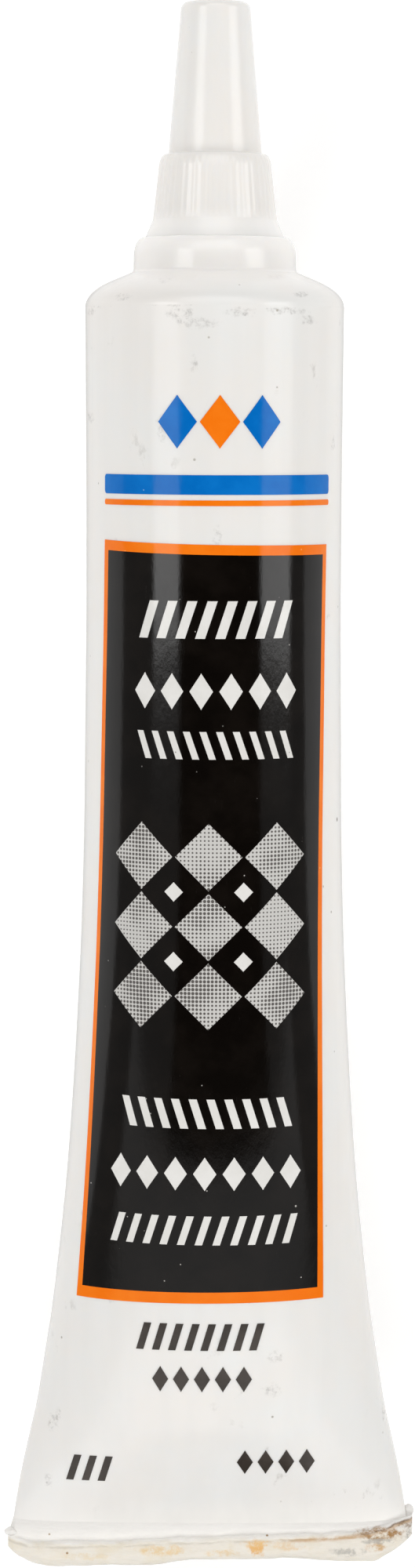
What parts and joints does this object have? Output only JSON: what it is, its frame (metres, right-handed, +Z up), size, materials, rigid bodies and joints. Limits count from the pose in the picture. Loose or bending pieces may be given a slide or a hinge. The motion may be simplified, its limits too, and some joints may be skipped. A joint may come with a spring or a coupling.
{
  "type": "squeeze tube of powdered lubricant",
  "caption": "White plastic squeeze tube of dry lock lubricant, melted shut at the tail, with a ribbed screw cap over a long thin nozzle.",
  "frame": {"origin": "on the table under the middle of the tube's outer box, with the tube lying on its back", "axes": "+Y along the tube's axis from the melted tail to the cap, +Z up and out of the printed front, X across the pressed tail"},
  "size_m": [0.0312, 0.117, 0.0192],
  "materials": {
    "sleeve": "satin",
    "melted_tail": "satin",
    "head": "satin",
    "cap": "satin",
    "powder": "matte",
    "black_ink": "gloss",
    "orange_ink": "gloss"
  },
  "bodies": {
    "tube": {"tube_sleeve": "sleeve", "end_seal": "melted_tail", "tube_head": "head", "nozzle": "head", "graphite_powder": "powder", "printed_panel": "black_ink", "panel_border": "orange_ink"},
    "cap_lift": {"cap_seal": "cap"},
    "cap": {"screw_cap": "cap"}
  },
  "joints": [
    {"name": "cap_rise", "type": "slide", "parent": "tube", "child": "cap_lift", "axis": [0, 1, 0], "range_m": [0, 0.016]},
    {"name": "cap_turn", "type": "hinge", "parent": "cap_lift", "child": "cap", "pos_m": [0, 0.05, 0.0095], "axis": [0, 1, 0], "range_deg": [0, 3600]}
  ],
  "couplings": [
    {"joint": "cap_rise", "follows": "cap_turn", "m_per_rad": 0.00025465}
  ]
}
